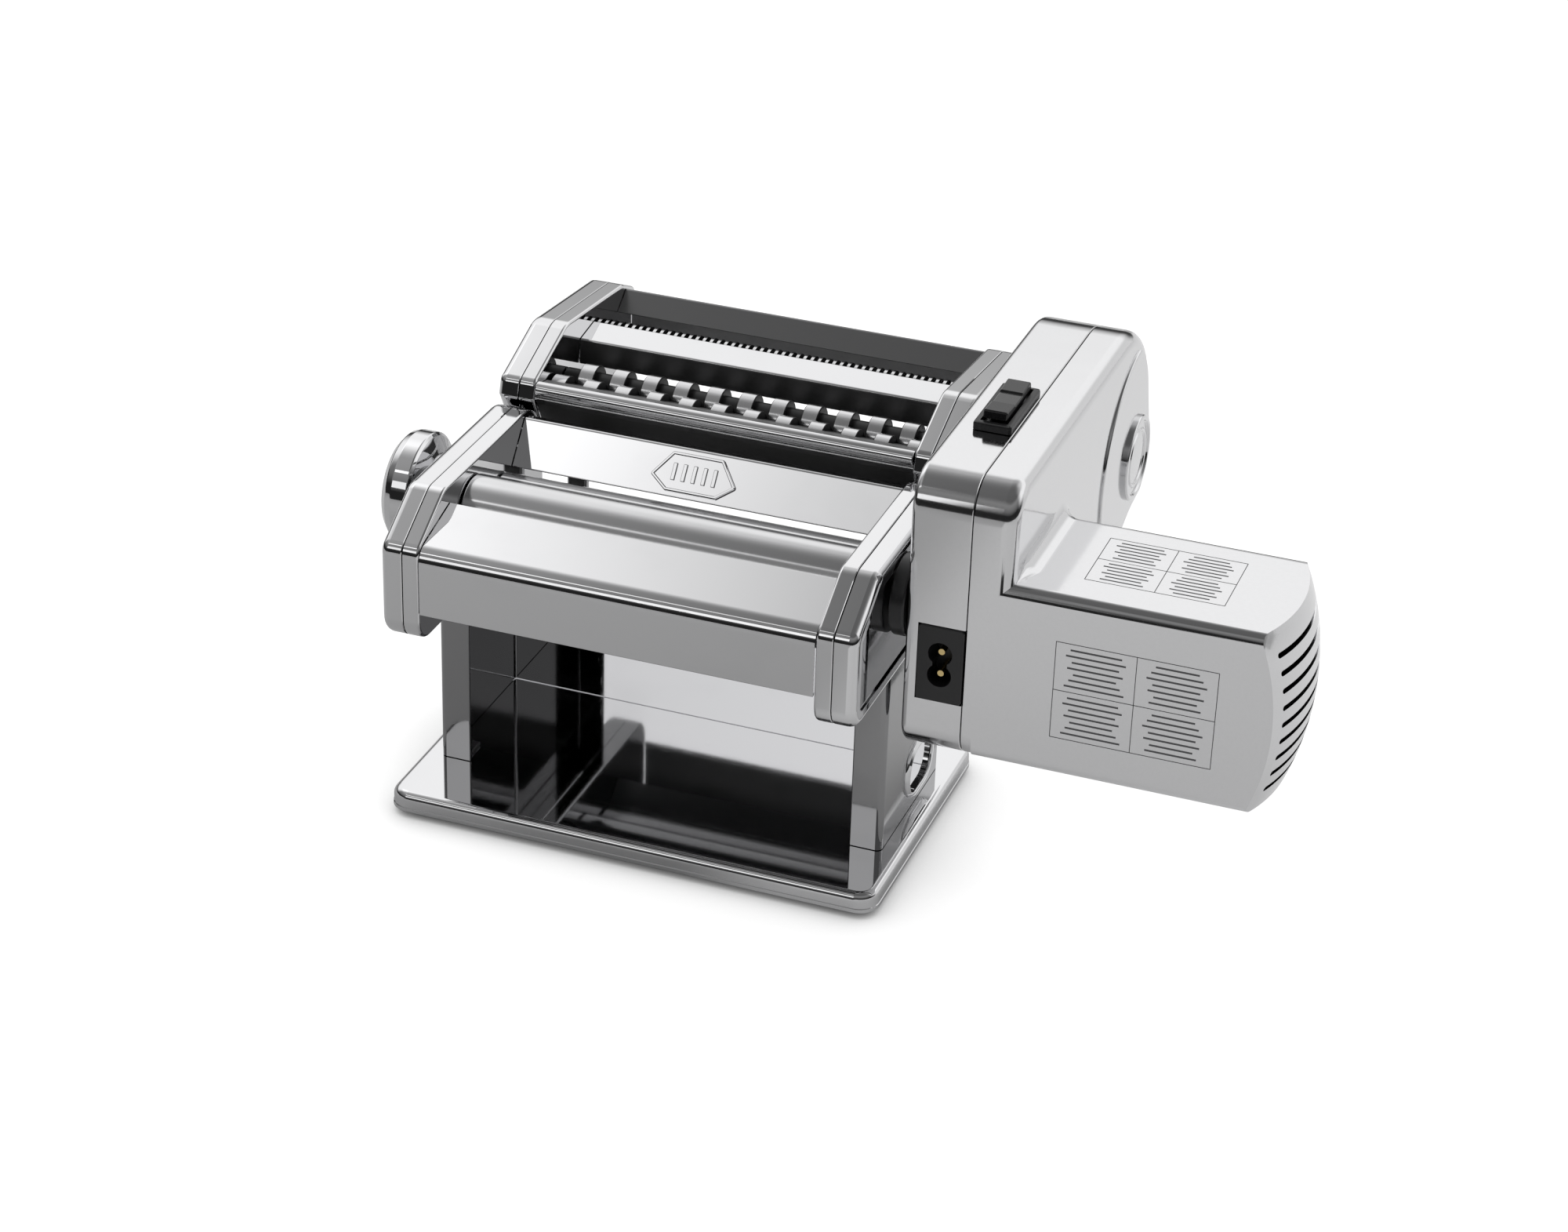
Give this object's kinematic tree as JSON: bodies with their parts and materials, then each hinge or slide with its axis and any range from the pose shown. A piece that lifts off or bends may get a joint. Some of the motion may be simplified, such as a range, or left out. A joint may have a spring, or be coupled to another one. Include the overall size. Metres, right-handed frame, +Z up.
{
  "type": "pasta roller machine",
  "caption": "Chrome electric pasta machine: adjustable smooth rollers in front, a wide and fine cutter unit behind, and a boxy gearbox and motor unit on the right side.",
  "frame": {"origin": "on the surface the feet stand on, under the middle of the whole machine's box, motor unit and knob included", "axes": "+X along the rollers towards the motor unit, +Y from the front guard back to the cutter unit, +Z up"},
  "size_m": [0.3489, 0.2224, 0.1779],
  "materials": {
    "chrome": "mirror-bright chrome plate on pressed steel",
    "roller_steel": "fine-turned roller steel with a soft sheen",
    "satin_chrome": "slightly softer chrome plate on the cast motor casing",
    "zinc_plate": "dull zinc-plated steel",
    "gear_steel": "oiled machine-cut steel",
    "bronze": "plain bearing bronze",
    "black_plastic": "fine-grained black moulded plastic",
    "rubber": "matt black rubber",
    "brass_pin": "bright contact brass"
  },
  "bodies": {
    "frame": {"base_plate": "chrome", "coupling_collar": "black_plastic", "foot_front_left": "rubber", "foot_front_right": "rubber", "foot_rear_left": "rubber", "foot_rear_right": "rubber", "front_guard": "chrome", "front_scraper": "zinc_plate", "gearbox_badge": "satin_chrome", "gearbox_inner_shell": "chrome", "hopper_badge": "chrome", "hopper_panel": "chrome", "inlet_pin_lower": "brass_pin", "inlet_pin_upper": "brass_pin", "inlet_socket": "black_plastic", "left_cutter_rail": "zinc_plate", "left_end_cap": "chrome", "left_side_plate": "chrome", "motor_can": "zinc_plate", "motor_end_cap": "satin_chrome", "motor_housing": "satin_chrome", "right_cutter_rail": "zinc_plate", "right_end_cap": "chrome", "right_side_plate": "chrome", "stand_frame": "chrome", "switch_bezel": "black_plastic", "tie_rod": "zinc_plate"},
    "front_roller_turn": {"front_roller": "roller_steel", "front_roller_gear": "gear_steel"},
    "nip_carriage": {"left_bearing_block": "bronze", "rear_scraper": "zinc_plate", "right_bearing_block": "bronze"},
    "rear_roller_turn": {"rear_roller": "roller_steel", "rear_roller_gear": "gear_steel"},
    "knob_pull": {"knob_sleeve": "zinc_plate"},
    "knob_turn": {"knob_cam_shaft": "zinc_plate", "thickness_knob": "chrome"},
    "cutter_unit": {"cutter_front_apron": "chrome", "cutter_front_panel": "satin_chrome", "cutter_front_tube": "chrome", "cutter_left_end_cap": "chrome", "cutter_left_side_plate": "chrome", "cutter_middle_panel": "chrome", "cutter_rear_panel": "chrome", "cutter_right_end_cap": "chrome", "cutter_right_side_plate": "chrome"},
    "wide_front_turn": {"wide_cutter_front": "roller_steel", "wide_gear_front": "gear_steel"},
    "wide_rear_turn": {"wide_cutter_rear": "roller_steel", "wide_gear_rear": "gear_steel"},
    "fine_front_turn": {"fine_cutter_front": "roller_steel", "fine_gear_front": "gear_steel"},
    "fine_rear_turn": {"fine_cutter_rear": "roller_steel", "fine_gear_rear": "gear_steel"},
    "output_turn": {"output_spindle": "gear_steel"},
    "motor_turn": {"motor_rotor": "gear_steel"},
    "switch_rock": {"switch_rocker": "black_plastic"},
    "idler_turn": {"idler_gear": "gear_steel"}
  },
  "joints": [
    {"name": "front_roller_spin", "type": "hinge", "parent": "frame", "child": "front_roller_turn", "pos_m": [-0.0625, -0.06455, 0.1179], "axis": [1, 0, 0], "continuous": true},
    {"name": "nip_slide", "type": "slide", "parent": "frame", "child": "nip_carriage", "axis": [0, 0.9205, -0.3907], "range_m": [0, 0.0042]},
    {"name": "rear_roller_spin", "type": "hinge", "parent": "nip_carriage", "child": "rear_roller_turn", "pos_m": [-0.0625, -0.04006, 0.10751], "axis": [1, 0, 0], "continuous": true},
    {"name": "knob_pull_out", "type": "slide", "parent": "frame", "child": "knob_pull", "axis": [-1, 0, 0], "range_m": [0, 0.004], "stiffness_N_per_m": 1500, "springref_m": -0.002},
    {"name": "knob_dial", "type": "hinge", "parent": "knob_pull", "child": "knob_turn", "pos_m": [-0.1532, -0.04855, 0.113], "axis": [1, 0, 0], "range_deg": [0, 300]},
    {"name": "cutter_lift", "type": "slide", "parent": "frame", "child": "cutter_unit", "axis": [0, 0, 1], "range_m": [0, 0.03]},
    {"name": "wide_front_spin", "type": "hinge", "parent": "cutter_unit", "child": "wide_front_turn", "pos_m": [-0.0625, 0.00875, 0.133], "axis": [1, 0, 0], "continuous": true},
    {"name": "wide_rear_spin", "type": "hinge", "parent": "cutter_unit", "child": "wide_rear_turn", "pos_m": [-0.0625, 0.02235, 0.133], "axis": [1, 0, 0], "continuous": true},
    {"name": "fine_front_spin", "type": "hinge", "parent": "cutter_unit", "child": "fine_front_turn", "pos_m": [-0.0625, 0.05475, 0.133], "axis": [1, 0, 0], "continuous": true},
    {"name": "fine_rear_spin", "type": "hinge", "parent": "cutter_unit", "child": "fine_rear_turn", "pos_m": [-0.0625, 0.06655, 0.133], "axis": [1, 0, 0], "continuous": true},
    {"name": "output_spin", "type": "hinge", "parent": "frame", "child": "output_turn", "pos_m": [0.0344, -0.06455, 0.1179], "axis": [1, 0, 0], "continuous": true},
    {"name": "idler_spin", "type": "hinge", "parent": "frame", "child": "idler_turn", "pos_m": [0.0569, -0.05198, 0.12348], "axis": [1, 0, 0], "continuous": true},
    {"name": "motor_spin", "type": "hinge", "parent": "frame", "child": "motor_turn", "pos_m": [0.0569, -0.04455, 0.1033], "axis": [1, 0, 0], "continuous": true},
    {"name": "switch_tilt", "type": "hinge", "parent": "frame", "child": "switch_rock", "pos_m": [0.0492, -0.0158, 0.1743], "axis": [1, 0, 0], "range_deg": [-8, 8]}
  ],
  "couplings": [
    {"joint": "rear_roller_spin", "follows": "front_roller_spin", "ratio": -1},
    {"joint": "output_spin", "follows": "front_roller_spin", "ratio": 1},
    {"joint": "idler_spin", "follows": "front_roller_spin", "ratio": -1.2},
    {"joint": "motor_spin", "follows": "front_roller_spin", "ratio": 4.5333},
    {"joint": "wide_rear_spin", "follows": "wide_front_spin", "ratio": -1},
    {"joint": "fine_rear_spin", "follows": "fine_front_spin", "ratio": -1},
    {"joint": "knob_dial", "follows": "nip_slide", "rad_per_m": 1246.6}
  ]
}
